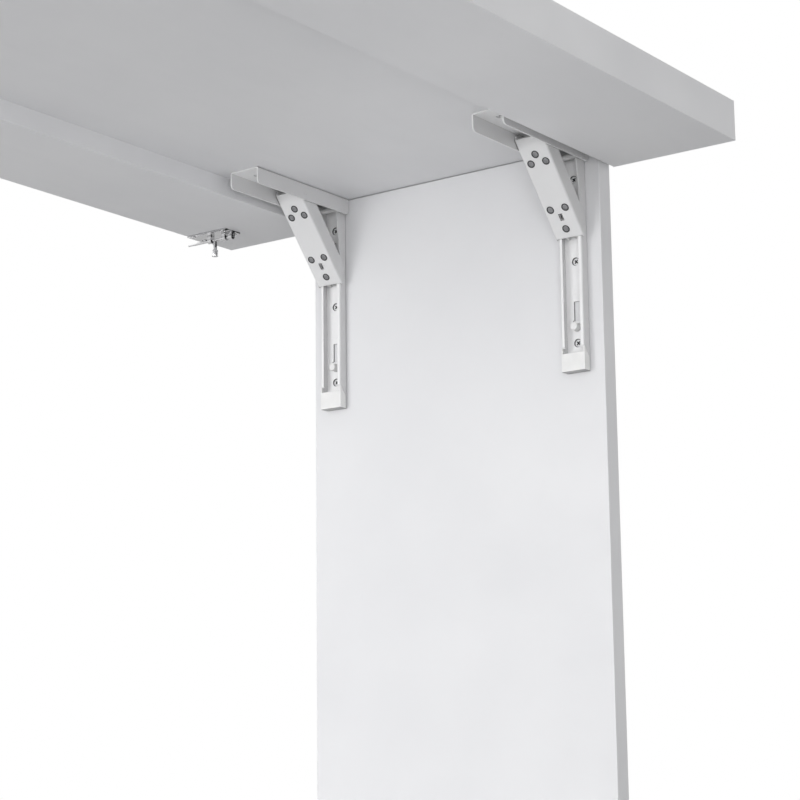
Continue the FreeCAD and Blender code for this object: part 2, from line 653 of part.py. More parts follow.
# ---------------------------------------------------------------- slide bolt
def bolt_plate():
    """Back plate of a slide bolt with three pressed-out keepers for the rod."""
    half = BOLT_PLATE_WIDTH / 2.0
    plate = box(-half, half, -BOLT_PLATE_LENGTH, 0, -1.2, 0)
    plate = rounded(plate, 1.5, lambda middle, run: along("z")(run))
    axis_z = -BOLT_ROD_DROP
    bore = BOLT_ROD_RADIUS + RUNNING_FIT
    outer = bore + BOLT_KEEPER_WALL
    for y0, y1 in BOLT_KEEPERS:
        keeper = rod(outer, (0, y0, axis_z), (0, 1, 0), y1 - y0)
        foot = box(-outer, outer, y0, y1, axis_z, -1.0)
        plate = plate.fuse([keeper, foot])
    plate = plate.removeSplitter()
    plate = plate.cut(rod(bore, (0, -60, axis_z), (0, 1, 0), 80))
    holes = [rod(1.7, (dx, y, -3), (0, 0, 1), 5) for dx in (-8.6, 8.6) for y in (-6.0, -44.0)]
    return plate.cut(holes)


def bolt_rod():
    """Round bolt, drawn shot, with its turned-down tip past the desk's rear edge."""
    tail = -48.5
    shaft = rod(BOLT_ROD_RADIUS, (0, tail, -BOLT_ROD_DROP), (0, 1, 0), BOLT_TIP_START - tail)
    shaft = shaft.makeChamfer(0.4, [edge for edge in shaft.Edges if edge.Closed])
    tip = rod(BOLT_TIP_RADIUS, (0, 0, -BOLT_ROD_DROP), (0, 1, 0), BOLT_PROUD)
    tip = tip.makeChamfer(0.45, [edge for edge in tip.Edges
                                if edge.Closed and edge.BoundBox.YMin > 1.0])
    spigot_hole = rod(BOLT_SPIGOT_RADIUS + 0.05, (0, BOLT_KNOB_Y, -12), (0, 0, 1),
                      12 - BOLT_ROD_DROP)
    return shaft.fuse(tip).cut(spigot_hole)


def bolt_knob():
    """Turned knob with a slim neck, screwed up into the rod."""
    top = -BOLT_ROD_DROP - BOLT_ROD_RADIUS
    spigot = BOLT_SPIGOT_RADIUS
    profile = [(0, top + 1.1, 0), (spigot, top + 1.1, 0), (spigot, top - 0.1, 0),
               (2.0, top - 0.1, 0), (2.0, top - 8.7, 0), (3.2, top - 9.0, 0.5),
               (3.2, top - 15.35, 0.5), (0, top - 15.35, 0)]
    face = Part.Face(outline(profile))
    knob = face.revolve(V(0, 0, 0), V(0, 0, 1), 360)
    knob.translate(V(0, BOLT_KNOB_Y, 0))
    return knob


def on_rail(shape, side):
    """Place a slide bolt piece under the rear rail, near one end."""
    placed = shape.copy()
    placed.translate(V(BOLT_X if side == "right" else -BOLT_X, REAR_Y, RAIL_Z))
    return placed


# ---------------------------------------------------------------- fasteners
def arm_screws():
    return Part.makeCompound([sunk_screw((x, y, UNDER_Z - ARM_SHEET), (0, 0, 1), 2.0, 13.0)
                              for x, y in arm_screw_places()])


def channel_screws(side):
    screws = []
    for end in ENDS:
        for height in CHANNEL_SCREWS_Z:
            face = (FACE_X - CHANNEL_SHEET, BRACKET_Y[end], UNDER_Z + height)
            screws.append(sunk_screw(face, (1, 0, 0), 1.9, 12.5))
    return on_side(Part.makeCompound(screws), side)


def bolt_screws():
    return Part.makeCompound([domed_screw((x, y, RAIL_Z - 1.2), (0, 0, 1), 2.7, 1.1, 1.5, 12.5)
                              for x, y in bolt_screw_places()])


# ---------------------------------------------------------------- nodes
def desk_nodes():
    """Every node's name and shape."""
    nodes = {
        "top_board": top_board(),
        "front_rail": rail(True),
        "rear_rail": rail(False),
        "long_edge_bands": long_edge_bands(),
        "end_bands": end_bands(),
        "rail_dowels": rail_dowels(),
        "arm_screws": arm_screws(),
        "bolt_screws": bolt_screws(),
    }
    shared = {
        "corner_pins": [corner_pin()],
        "strut_pivot_rivets": strut_pivot_rivets(),
    }
    for name, shapes in shared.items():
        nodes[name] = Part.makeCompound([in_desk(shape, end, side) for shape in shapes
                                         for end in ENDS for side in SIDES])
    corner_pieces = {
        "bracket_arm": bracket_arm(),
        "strut": strut(),
        "strut_lugs": Part.makeCompound([strut_upper_lug(), strut_lower_lug()]),
        "strut_rivets": strut_rivets(),
        "shoe": shoe(),
        "shoe_pin": shoe_pin(),
        "leg_channel": leg_channel(),
        "detent_button": detent_button(),
    }
    for name, shape in corner_pieces.items():
        for end in ENDS:
            for side in SIDES:
                nodes[f"{end}_{side}_{name}"] = in_desk(shape, end, side)
    leg_pairs = {"channel_end_caps": channel_end_cap(), "button_springs": button_spring()}
    for side in SIDES:
        for name, shape in leg_pairs.items():
            pair = [in_desk(shape, end, side) for end in ENDS]
            nodes[f"{side}_{name}"] = Part.makeCompound(pair)
        nodes[f"{side}_leg_panel"] = leg_panel(side)
        nodes[f"{side}_leg_edge_band"] = leg_edge_band(side)
        nodes[f"{side}_leg_glides"] = leg_glides(side)
        nodes[f"{side}_channel_screws"] = channel_screws(side)
        nodes[f"{side}_bolt_plate"] = on_rail(bolt_plate(), side)
        nodes[f"{side}_bolt_rod"] = on_rail(bolt_rod(), side)
        nodes[f"{side}_bolt_knob"] = on_rail(bolt_knob(), side)
    return nodes


def main():
    os.makedirs("parts", exist_ok=True)
    for name, shape in sorted(desk_nodes().items()):
        if not shape.isValid():
            print("not valid:", name)
        shape.exportStep(f"parts/{name}.step")
        print(f"{name}: {len(shape.Solids)} solids, {shape.Volume / 1000.0:.2f} cm3")


main()
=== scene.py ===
"""Looks for the folding secretary desk: finishes, small hardware, studio and camera.

Units are metres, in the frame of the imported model: X along the desk, -Y the front, Z up.
"""
import math

import bmesh
import bpy
from mathutils import Matrix, Vector


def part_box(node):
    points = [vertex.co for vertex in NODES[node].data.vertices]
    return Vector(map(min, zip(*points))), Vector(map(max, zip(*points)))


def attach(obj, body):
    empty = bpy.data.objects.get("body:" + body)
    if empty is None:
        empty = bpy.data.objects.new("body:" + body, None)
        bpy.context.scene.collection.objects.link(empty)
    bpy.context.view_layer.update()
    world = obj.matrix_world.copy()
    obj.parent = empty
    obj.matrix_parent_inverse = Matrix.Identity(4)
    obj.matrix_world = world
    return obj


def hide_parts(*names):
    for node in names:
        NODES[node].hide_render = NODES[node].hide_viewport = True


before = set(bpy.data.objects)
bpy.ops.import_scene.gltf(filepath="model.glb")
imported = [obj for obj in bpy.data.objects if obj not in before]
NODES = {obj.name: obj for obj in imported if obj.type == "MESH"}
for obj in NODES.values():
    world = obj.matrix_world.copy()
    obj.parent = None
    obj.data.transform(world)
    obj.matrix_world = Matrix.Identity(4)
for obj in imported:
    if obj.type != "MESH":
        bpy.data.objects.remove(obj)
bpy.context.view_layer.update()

MM = 0.001

# The inner top front corner of the right leg panel, under the top: the camera is placed
# from here, and the lights point here.
CORNER = Vector((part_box("right_leg_panel")[0].x,
                 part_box("right_leg_edge_band")[0].y,
                 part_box("top_board")[0].z))
CAMERA_FROM_CORNER = Vector((-1.55104, -0.92050, -0.58342))
CAMERA_YAW = math.radians(53.65)      # from +Y towards +X
CAMERA_PITCH = math.radians(11.15)    # upwards
CAMERA_ROLL = math.radians(-0.66)
CAMERA_LENS = 95.29
SENSOR = 36.0
CAMERA_SIGHT = 60.0

# Pressed sheets, whose cut edges get painted shade. A sheet is found by the direction out
# of it and the places of its two faces along that direction, at the right end of the desk.
MIDDLE_Y = (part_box("front_right_strut")[0].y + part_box("rear_right_strut")[1].y) / 2.0
BRACKET_SPREAD = sum(corner.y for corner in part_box("rear_right_strut")) / 2.0 - MIDDLE_Y
SHEET = 1.3 * MM
SKIN = 0.04 * MM                      # the faces themselves keep their own tone
STRUT_OUT = Vector((-0.76380, 0.0, -0.64546))     # square to the web of an open strut
STRUT_PIVOT = CORNER + Vector((-67.0, 0.0, -9.0)) * MM
STRUT_FACE = STRUT_PIVOT.dot(STRUT_OUT) + 5.0 * MM


def sheet(outward, face, half, dark):
    """A sheet's facts; half is the width looked at, each side of a bracket's middle."""
    return {"outward": outward, "low": face - SHEET + SKIN, "high": face - SKIN,
            "half": half, "dark": dark}


CHANNEL_SHEET = sheet(Vector((-1.0, 0.0, 0.0)), SHEET - CORNER.x, 5.6 * MM, 0.9)
STRUT_SHEET = sheet(STRUT_OUT, STRUT_FACE, 12.0 * MM, 0.6)

# Light: how bright the surroundings are towards each side, and each soft box's place, size
# and power. Gloss meets a dark card instead, which fades out over a range of directions.
SURROUND = {(-1.0, 0.0, 0.0): 0.865, (0.0, -1.0, 0.0): 0.060, (0.0, 0.0, 1.0): 0.528}
SOFT_BOXES = {
    "key": ((-3.2, 1.2, 0.6), (2.0, 1.2), 47.8),
    "broad": ((-3.4, 0.2, 0.5), (2.0, 1.2), 17.8),
    "fill": ((-2.6, -3.0, 1.2), (2.0, 1.6), 15.0),
    "near": ((-0.95, -1.25, 0.25), (0.8, 0.8), 7.5),
}

CHROME_REFLECTION_SIDE = (-0.349, -0.937, 0.0)   # painted dark reflections on chrome faces that look this way
DARK_CARD = (-0.286, -0.958, 0.0)
CARD_FADE = (0.45, 0.85)
CARD_LIGHT = 0.01
UP = (0.0, 0.0, 1.0)
DOWN = (0.0, 0.0, -1.0)

# Linear colours
BOARD_WHITE = (0.800, 0.802, 0.815)
BOARD_CLOUD = (0.765, 0.768, 0.784)
COAT_WHITE = (0.900, 0.900, 0.904)
COAT_SHADE = (0.830, 0.830, 0.838)
# painted light: a lighter copy of the white coat, for the leg channels
CHANNEL_LIT_WHITE = (0.950, 0.950, 0.955)
# painted shade: a darker copy of the white coat, for the struts
STRUT_SHADED_WHITE = (0.800, 0.800, 0.806)
COAT_SIDE_SHADE = (0.68, 0.68, 0.685)       # painted shade on faces that look along Y
# painted shade in corners, close joints and recesses, and on the end caps' top and bottom
SHADE_GREY = (0.16, 0.16, 0.165)
# painted shade on cut edges of sheets and on faces that look down
CUT_SHADE_GREY = (0.085, 0.085, 0.088)
STEEL_GREY = (0.30, 0.30, 0.31)
EDGE_GREY = (0.70, 0.70, 0.71)
RIVET_GREY = (0.080, 0.081, 0.084)
RIVET_DARK = (0.075, 0.076, 0.080)
RIVET_FACE = (0.44, 0.44, 0.45)
RIVET_FACE_DARK = (0.32, 0.32, 0.33)
SPRING_GREY = (0.50, 0.50, 0.52)
SPRING_DARK = (0.36, 0.36, 0.38)
CHROME_BRIGHT = (0.90, 0.90, 0.91)
CHROME_SMUDGE = (0.80, 0.80, 0.81)
# painted dark reflections on chrome
REFLECTION_BLACK = (0.010, 0.010, 0.011)
PLASTIC_WHITE = (0.86, 0.86, 0.855)
PLASTIC_CLOUD = (0.81, 0.81, 0.805)
BEECH_PALE = (0.62, 0.43, 0.26)
BEECH_RING = (0.50, 0.32, 0.18)
BEECH_FLECK = (0.30, 0.17, 0.09)
FLOOR_WHITE = (0.80, 0.80, 0.80)
FLOOR_CLOUD = (0.785, 0.785, 0.785)


# ---------------------------------------------------------------- finishes
class Finish:
    """A Principled material built up from noise in the row frame, in metres."""

    def __init__(self, name, **sockets):
        self.material = bpy.data.materials.new(name)
        self.material.use_nodes = True
        self.tree = self.material.node_tree
        self.tree.nodes.clear()
        self.shader = self.add("BsdfPrincipled")
        output = self.add("OutputMaterial")
        self.link(self.shader.outputs["BSDF"], output.inputs["Surface"])
        coordinates = self.add("TexCoord")
        self.place = coordinates.outputs["Object"]
        self.turned = coordinates.outputs["Normal"]
        for socket, value in sockets.items():
            self.shader.inputs[socket.replace("_", " ")].default_value = value

    def add(self, kind):
        return self.tree.nodes.new("ShaderNode" + kind)

    def link(self, source, target):
        self.tree.links.new(source, target)

    def noise(self, pitch, detail=2.0, stretch=(1.0, 1.0, 1.0), shift=0.0):
        """Noise whose blobs are about pitch metres across, longer along a stretched axis."""
        mapping = self.add("Mapping")
        mapping.inputs["Location"].default_value = (shift, shift * 1.7, shift * 2.3)
        mapping.inputs["Scale"].default_value = [1.0 / (pitch * s) for s in stretch]
        self.link(self.place, mapping.inputs["Vector"])
        texture = self.add("TexNoise")
        texture.inputs["Scale"].default_value = 1.0
        texture.inputs["Detail"].default_value = detail
        self.link(mapping.outputs["Vector"], texture.inputs["Vector"])
        return texture.outputs["Fac"]

    def spread(self, value, low, high, start=0.3, end=0.7):
        """Map a value's start..end to low..high, clamped."""
        node = self.add("MapRange")
        for socket, number in (("From Min", start), ("From Max", end),
                               ("To Min", low), ("To Max", high)):
            node.inputs[socket].default_value = number
        self.link(value, node.inputs["Value"])
        return node.outputs["Result"]

    def math(self, operation, first, second=0.0):
        """One arithmetic step on numbers or sockets."""
        node = self.add("Math")
        node.operation = operation
        for socket, value in zip(node.inputs, (first, second)):
            if isinstance(value, (int, float)):
                socket.default_value = value
            else:
                self.link(value, socket)
        return node.outputs["Value"]

    def mix(self, factor, first, second):
        """Blend two colours, each a colour or a socket."""
        node = self.add("Mix")
        node.data_type = "RGBA"
        self.link(factor, node.inputs[0])
        for socket, value in ((node.inputs[6], first), (node.inputs[7], second)):
            if isinstance(value, tuple):
                socket.default_value = (*value, 1.0)
            else:
                self.link(value, socket)
        return node.outputs[2]

    def colour(self, socket):
        self.link(socket, self.shader.inputs["Base Color"])

    def roughness(self, socket):
        self.link(socket, self.shader.inputs["Roughness"])

    def rounded_normal(self, radius):
        bevel = self.add("Bevel")
        bevel.samples = 4
        bevel.inputs["Radius"].default_value = radius
        return bevel.outputs["Normal"]

    def edges(self, radius):
        """1 along outer and inner edges, within about radius, and 0 on flat faces."""
        dot = self.add("VectorMath")
        dot.operation = "DOT_PRODUCT"
        self.link(self.rounded_normal(radius), dot.inputs[0])
        self.link(self.add("NewGeometry").outputs["Normal"], dot.inputs[1])
        return self.spread(dot.outputs["Value"], 1.0, 0.0, 0.80, 0.985)

    def hollows(self, reach):
        """1 in corners and recesses that are within reach of another surface, where shade falls;
        it marks painted shade and painted dark reflections.
        """
        occlusion = self.add("AmbientOcclusion")
        occlusion.samples = 6
        occlusion.inputs["Distance"].default_value = reach
        return self.spread(occlusion.outputs["AO"], 1.0, 0.0, 0.15, 0.78)

    def sideways(self):
        """0 on faces that look along X or Z, towards 1 on faces that look along Y."""
        parts = self.add("SeparateXYZ")
        self.link(self.turned, parts.inputs["Vector"])
        return self.spread(self.math("ABSOLUTE", parts.outputs["Y"]), 0.0, 1.0, 0.15, 0.8)

    def towards(self, direction, start, end):
        """1 on faces that look in a direction, 0 on faces that look well away from it."""
        dot = self.add("VectorMath")
        dot.operation = "DOT_PRODUCT"
        dot.inputs[1].default_value = direction
        self.link(self.turned, dot.inputs[0])
        return self.spread(dot.outputs["Value"], 0.0, 1.0, start, end)

    def cut_edges(self, sheet):
        """1 on walls cut through a flat sheet; the desk's ends mirror each other in X."""
        parts = self.add("SeparateXYZ")
        self.link(self.place, parts.inputs["Vector"])
        out_x = self.math("ABSOLUTE", parts.outputs["X"])
        along = self.math("ADD", self.math("MULTIPLY", out_x, sheet["outward"].x),
                          self.math("MULTIPLY", parts.outputs["Z"], sheet["outward"].z))
        aside = self.math("ABSOLUTE", self.math("SUBTRACT", parts.outputs["Y"], MIDDLE_Y))
        aside = self.math("ABSOLUTE", self.math("SUBTRACT", aside, BRACKET_SPREAD))
        inside = self.math("MULTIPLY", self.math("GREATER_THAN", along, sheet["low"]),
                           self.math("LESS_THAN", along, sheet["high"]))
        return self.math("MULTIPLY", inside, self.math("LESS_THAN", aside, sheet["half"]))

    def relief(self, heights, edge_radius=0.0):
        """Bump from (height socket, depth in metres) pairs, over edges rounded by shading."""
        normal = self.rounded_normal(edge_radius) if edge_radius else None
        for height, depth in heights:
            bump = self.add("Bump")
            bump.inputs["Strength"].default_value = 1.0
            bump.inputs["Distance"].default_value = depth
            self.link(height, bump.inputs["Height"])
            if normal is not None:
                self.link(normal, bump.inputs["Normal"])
            normal = bump.outputs["Normal"]
        self.link(normal, self.shader.inputs["Normal"])


def melamine(name):
    """White melamine facing: fine pressed pebble, slight cloudiness, rubbed places."""
    finish = Finish(name, Specular_IOR_Level=0.42)
    cloud = finish.noise(0.16, 3.0)
    smear = finish.noise(0.02, 2.0, (6.0, 1.0, 1.0), 3.1)
    pebble = finish.noise(0.0009, 1.0, shift=5.0)
    tone = finish.mix(finish.spread(cloud, 0.0, 1.0), BOARD_WHITE, BOARD_CLOUD)
    tone = finish.mix(finish.spread(smear, 0.0, 0.25, 0.55, 0.8), tone, BOARD_CLOUD)
    # Painted shade in corners and close joints.
    painted_shade = finish.math("MULTIPLY", finish.hollows(0.0016), 0.12)
    finish.colour(finish.mix(painted_shade, tone, SHADE_GREY))
    finish.roughness(finish.spread(finish.math("ADD", cloud, smear), 0.40, 0.52, 0.8, 1.2))
    finish.relief([(pebble, 0.000010), (finish.noise(0.05, 1.0, shift=9.0), 0.00004)])
    return finish.material


def edging(name):
    """White edge band: a shade smoother than the board, with fine lengthwise lines."""
    finish = Finish(name, Specular_IOR_Level=0.45)
    cloud = finish.noise(0.10, 2.0)
    lines = finish.noise(0.0006, 1.0, (220.0, 220.0, 1.0), 2.0)
    tone = finish.mix(finish.spread(cloud, 0.0, 1.0), BOARD_WHITE, BOARD_CLOUD)
    worn = finish.edges(0.0009)
    finish.colour(finish.mix(finish.math("MULTIPLY", worn, 0.35), tone, EDGE_GREY))
    finish.roughness(finish.spread(cloud, 0.34, 0.44))
    finish.relief([(lines, 0.000006)])
    return finish.material


def powder_coat(name, sheet=None, white=COAT_WHITE):
    """White powder coat on pressed steel: orange peel, chipped at the edges.

    Painted shade darkens faces that look along Y, close joints, a sheet's cut edges and faces that
    look down.
    """
    finish = Finish(name, Specular_IOR_Level=0.5)
    cloud = finish.noise(0.03, 3.0)
    peel = finish.noise(0.0016, 2.0, shift=1.3)
    fine = finish.noise(0.0004, 1.0, shift=4.0)
    tone = finish.mix(finish.spread(cloud, 0.0, 0.6), white, COAT_SHADE)
    # Painted shade on faces that look along Y.
    tone = finish.mix(finish.sideways(), tone, COAT_SIDE_SHADE)
    # Painted shade in corners, close joints and recesses.
    painted_shade = finish.math("MULTIPLY", finish.hollows(0.0013), 0.55)
    tone = finish.mix(painted_shade, tone, SHADE_GREY)
    if sheet:
        # Painted shade on cut edges and on faces that look down.
        cut_shade = finish.math("MAXIMUM", finish.cut_edges(sheet), finish.towards(DOWN, 0.72, 0.76))
        tone = finish.mix(finish.math("MULTIPLY", cut_shade, sheet["dark"]), tone, CUT_SHADE_GREY)
    chips = finish.spread(finish.noise(0.004, 3.0, shift=7.0), 0.0, 1.0, 0.60, 0.68)
    worn = finish.math("MULTIPLY", finish.edges(0.0006), chips)
    finish.colour(finish.mix(finish.math("MULTIPLY", worn, 0.6), tone, STEEL_GREY))
    finish.roughness(finish.spread(cloud, 0.36, 0.46))
    finish.relief([(peel, 0.000022), (fine, 0.000004)], 0.0003)
    return finish.material


def white_plastic(name, end_shade=0.0):
    """Moulded white plastic with a light spark texture; end_shade paints shade on its top and
    bottom faces.
    """
    finish = Finish(name, Specular_IOR_Level=0.45)
    cloud = finish.noise(0.012, 2.0)
    spark = finish.noise(0.0005, 2.0, shift=6.0)
    tone = finish.mix(finish.spread(cloud, 0.0, 1.0), PLASTIC_WHITE, PLASTIC_CLOUD)
    ends = finish.math("MAXIMUM", finish.towards(UP, 0.5, 0.7), finish.towards(DOWN, 0.5, 0.7))
    # Painted shade in corners and close joints, and on top and bottom faces by end_shade.
    painted_shade = finish.math("MAXIMUM", finish.math("MULTIPLY", finish.hollows(0.0013), 0.5),
                        finish.math("MULTIPLY", ends, end_shade))
    finish.colour(finish.mix(painted_shade, tone, SHADE_GREY))
    finish.roughness(finish.spread(cloud, 0.34, 0.46))
    finish.relief([(spark, 0.000008)], 0.0002)
    return finish.material


def bare_steel(name, light, dark, smooth=0.32):
    """Plated steel with fine scratches and dull patches."""
    finish = Finish(name, Metallic=1.0)
    cloud = finish.noise(0.003, 3.0)
    scratch = finish.noise(0.00025, 2.0, (12.0, 1.0, 12.0), 3.0)
    finish.colour(finish.mix(finish.spread(cloud, 0.0, 1.0), light, dark))
    finish.roughness(finish.spread(finish.math("ADD", cloud, scratch), smooth,
                                   smooth + 0.2, 0.7, 1.3))
    finish.relief([(scratch, 0.000006)], 0.00015)
    return finish.material


def chrome(name):
    """Bright chrome with hairline scratches and faint fingermarks.

    Edges, corners and patches on one side are dark, in place of dark reflections.
    """
    finish = Finish(name, Metallic=1.0)
    smudge = finish.noise(0.008, 3.0)
    scratch = finish.noise(0.00018, 2.0, (20.0, 1.0, 20.0), 2.0)
    tone = finish.mix(finish.spread(smudge, 0.0, 1.0, 0.4, 0.8), CHROME_BRIGHT, CHROME_SMUDGE)
    patches = finish.spread(finish.noise(0.0042, 1.0, shift=2.6), 0.25, 1.0, 0.44, 0.54)
    side = finish.math("MULTIPLY", finish.towards(CHROME_REFLECTION_SIDE, 0.86, 0.92), patches)
    dark = finish.math("MAXIMUM", finish.edges(0.00045), side)
    dark = finish.math("MAXIMUM", dark, finish.hollows(0.0024))
    finish.colour(finish.mix(finish.math("MULTIPLY", dark, 0.96), tone, REFLECTION_BLACK))
    finish.roughness(finish.spread(smudge, 0.05, 0.14))
    finish.relief([(scratch, 0.0000015)], 0.0003)
    return finish.material


def beech(name):
    """Pale beech with fine long fibres and short dark flecks."""
    finish = Finish(name, Specular_IOR_Level=0.3)
    rings = finish.noise(0.0016, 2.0, (1.0, 1.0, 30.0))
    flecks = finish.noise(0.0005, 2.0, (1.0, 1.0, 8.0), 4.0)
    tone = finish.mix(finish.spread(rings, 0.0, 1.0), BEECH_PALE, BEECH_RING)
    finish.colour(finish.mix(finish.spread(flecks, 0.0, 0.6, 0.58, 0.72), tone, BEECH_FLECK))
    finish.roughness(finish.spread(rings, 0.55, 0.75))
    finish.relief([(rings, 0.00004), (flecks, 0.00003)])
    return finish.material


def floor_paint(name):
    """Matte pale studio floor."""
    finish = Finish(name, Specular_IOR_Level=0.2)
    cloud = finish.noise(1.2, 3.0)
    finish.colour(finish.mix(finish.spread(cloud, 0.0, 1.0), FLOOR_WHITE, FLOOR_CLOUD))
    finish.roughness(finish.spread(cloud, 0.7, 0.85))
    finish.relief([(finish.noise(0.004, 2.0), 0.00005)])
    return finish.material


LOOKS = {
    "melamine_board": melamine("melamine_board_look"),
    "edge_banding": edging("edge_banding_look"),
    "beech_dowel": beech("beech_look"),
    "white_steel": powder_coat("white_steel_look"),
    # Leg channels wear a lighter copy of the white coat as painted light, struts a darker copy as
    # painted shade.
    "channel_steel": powder_coat("channel_steel_look", CHANNEL_SHEET, CHANNEL_LIT_WHITE),
    "strut_steel": powder_coat("strut_steel_look", STRUT_SHEET, STRUT_SHADED_WHITE),
    "white_pin": powder_coat("white_pin_look"),
    "bare_rivet": bare_steel("rivet_look", RIVET_GREY, RIVET_DARK),
    "rivet_face": bare_steel("rivet_face_look", RIVET_FACE, RIVET_FACE_DARK, 0.42),
    "white_screw": powder_coat("white_screw_look"),
    "white_plastic": white_plastic("white_plastic_look"),
    # End caps get painted shade on their top and bottom faces.
    "cap_plastic": white_plastic("cap_plastic_look", 0.6),
    "glide_plastic": white_plastic("glide_plastic_look"),
    "spring_steel": bare_steel("spring_steel_look", SPRING_GREY, SPRING_DARK, 0.2),
    "bolt_chrome": chrome("bolt_chrome_look"),
}


OWN_LOOKS = {"_leg_channel": "channel_steel", "_strut": "strut_steel",
             "_end_caps": "cap_plastic"}


def dress_cad_nodes():
    """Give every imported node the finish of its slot, or one of its kind of piece."""
    for name, node in NODES.items():
        for slot in node.material_slots:
            look = slot.material.name.split(".")[0]
            for ending, own_look in OWN_LOOKS.items():
                if name.endswith(ending):
                    look = own_look
            slot.link = "OBJECT"
            slot.material = LOOKS[look]


# ---------------------------------------------------------------- small hardware
WELD_GAP = 1e-7                       # vertices this close are one
SHARP_EDGE = math.radians(40.0)


def islands(node):
    """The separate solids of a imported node, each a list of its vertices' places."""
    mesh = bmesh.new()
    mesh.from_mesh(node.data)
    bmesh.ops.remove_doubles(mesh, verts=mesh.verts, dist=WELD_GAP)
    left = set(mesh.verts)
    groups = []
    while left:
        front = [left.pop()]
        group = []
        while front:
            vertex = front.pop()
            group.append(vertex.co.copy())
            for edge in vertex.link_edges:
                other = edge.other_vert(vertex)
                if other in left:
                    left.remove(other)
                    front.append(other)
        groups.append(group)
    mesh.free()
    return groups


def span(points, axis):
    """Lowest and highest place of the points along a direction."""
    places = [point.dot(axis) for point in points]
    return min(places), max(places)


def middle(points):
    """Centre of the points' box."""
    return Vector([sum(span(points, Vector(axis))) / 2.0
                   for axis in ((1, 0, 0), (0, 1, 0), (0, 0, 1))])


class Shape:
    """Vertices and faces of one piece, gathered before it becomes a mesh."""

    def __init__(self):
        self.points = []
        self.faces = []
        self.looks = []

    def rings(self, rings, looks=None):
        """Skin equal rings of points and cap both ends; looks gives a material per band."""
        looks = looks or [0] * len(rings)
        start = len(self.points)
        count = len(rings[0])
        for ring in rings:
            self.points.extend(ring)
        for i in range(len(rings) - 1):
            for j in range(count):
                following = (j + 1) % count
                self.faces.append((start + i * count + j, start + i * count + following,
                                   start + (i + 1) * count + following,
                                   start + (i + 1) * count + j))
                self.looks.append(looks[i])
        last = start + (len(rings) - 1) * count
        self.faces.append(tuple(start + j for j in reversed(range(count))))
        self.faces.append(tuple(last + j for j in range(count)))
        self.looks.extend((looks[0], looks[-1]))

    def lathe(self, base, axis, profile, around=48, flutes=0, flute_depth=0.0):
        """Turn (radius, height, look) steps round an axis; flutes are pressed in lengthwise."""
        axis = axis.normalized()
        side = axis.orthogonal().normalized()
        over = axis.cross(side)
        rings = []
        for radius, height, _ in profile:
            ring = []
            for j in range(around):
                turn = 2.0 * math.pi * j / around
                wave = 0.5 - 0.5 * math.cos(flutes * turn) if flutes else 0.0
                reach = radius - flute_depth * wave * (1.0 if radius > flute_depth * 4 else 0.0)
                ring.append(base + axis * height
                            + (side * math.cos(turn) + over * math.sin(turn)) * reach)
            rings.append(ring)
        self.rings(rings, looks=[look for _, _, look in profile])

    def build(self, name, looks, body, slot, *nodes):
        """Make the piece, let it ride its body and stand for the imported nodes."""
        mesh = bpy.data.meshes.new(name)
        mesh.from_pydata([tuple(point) for point in self.points], [], self.faces)
        for look in looks:
            mesh.materials.append(LOOKS[look])
        mesh.polygons.foreach_set("material_index", self.looks)
        mesh.update()
        work = bmesh.new()
        work.from_mesh(mesh)
        bmesh.ops.recalc_face_normals(work, faces=work.faces)
        work.to_mesh(mesh)
        work.free()
        mesh.shade_smooth()
        mesh.set_sharp_from_angle(angle=SHARP_EDGE)
        piece = bpy.data.objects.new(name, mesh)
        bpy.context.scene.collection.objects.link(piece)
        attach(piece, body)
        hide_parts(*nodes)
        return piece


def profile_of(*places):
    """(radius, height) or (radius, height, look) in millimetres; a look carries on."""
    turned = []
    look = 0
    for place in places:
        if len(place) == 3:
            look = place[2]
        turned.append((place[0] * MM, place[1] * MM, look))
    return turned


RIM, FACE = 0, 1
RIVET_PROUD = 0.6 * MM
RIVET_PROFILE = profile_of(
    (0.05, 0.26, FACE), (0.9, 0.28), (1.5, 0.33), (1.95, 0.36), (2.2, 0.30), (2.4, 0.16),
    (2.55, 0.12, RIM), (2.68, 0.40), (2.88, 0.57), (3.10, 0.60), (3.36, 0.50), (3.52, 0.28),
    (3.55, 0.02), (2.02, 0.0), (2.0, -0.1), (2.0, -2.78), (2.75, -2.82), (2.8, -3.15),
    (2.55, -3.38), (2.1, -3.36), (1.7, -3.0), (0.05, -2.9))


def tubular_rivets(node_name, body):
    """Rolled-rim rivets of one strut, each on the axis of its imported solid."""
    mirror = 1.0 if "right" in node_name else -1.0
    outward = Vector((mirror * STRUT_OUT.x, 0.0, STRUT_OUT.z)).normalized()
    shape = Shape()
    for points in islands(NODES[node_name]):
        high = span(points, outward)[1]
        centre = middle(points)
        base = centre + outward * (high - RIVET_PROUD - centre.dot(outward))
        shape.lathe(base, outward, RIVET_PROFILE)
    return shape.build(node_name.replace("strut_rivets", "rolled_rivets"),
                       ("bare_rivet", "rivet_face"), body, "bare_rivet", node_name)


SCREW_HEAD = 3.05
SCREW_DEEPER = 0.45 * MM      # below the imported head's face
DRIVE_REACH = 2.05
DRIVE_HALF = 0.62
DRIVE_CORNER = math.degrees(math.asin(DRIVE_HALF / DRIVE_REACH))
DRIVE_ANGLES = [math.radians(quarter + step) for quarter in (0, 90, 180, 270)
                for step in (0, 7, DRIVE_CORNER, 20, 32, 45, 58, 70, 90 - DRIVE_CORNER, 83)]
DRIVE_STEPS = ((1.0, 0.0), (0.93, 0.35), (0.55, 1.15))    # share of the outline, depth
SCREW_CREST = 1.86
SCREW_ROOT = 1.45
SCREW_PITCH = 0.9
SCREW_NECK = 3.2              # the thread stops this far below the head's face
WHITE, BARE = 0, 1


def drive_reach(turn):
    """Distance from the middle to the outline of a cross-shaped drive, towards an angle."""
    folded = math.degrees(turn) % 90.0
    folded = math.radians(min(folded, 90.0 - folded))
    if math.sin(folded) * DRIVE_REACH <= DRIVE_HALF * 1.0001:
        return DRIVE_REACH
    return DRIVE_HALF / math.sin(folded)


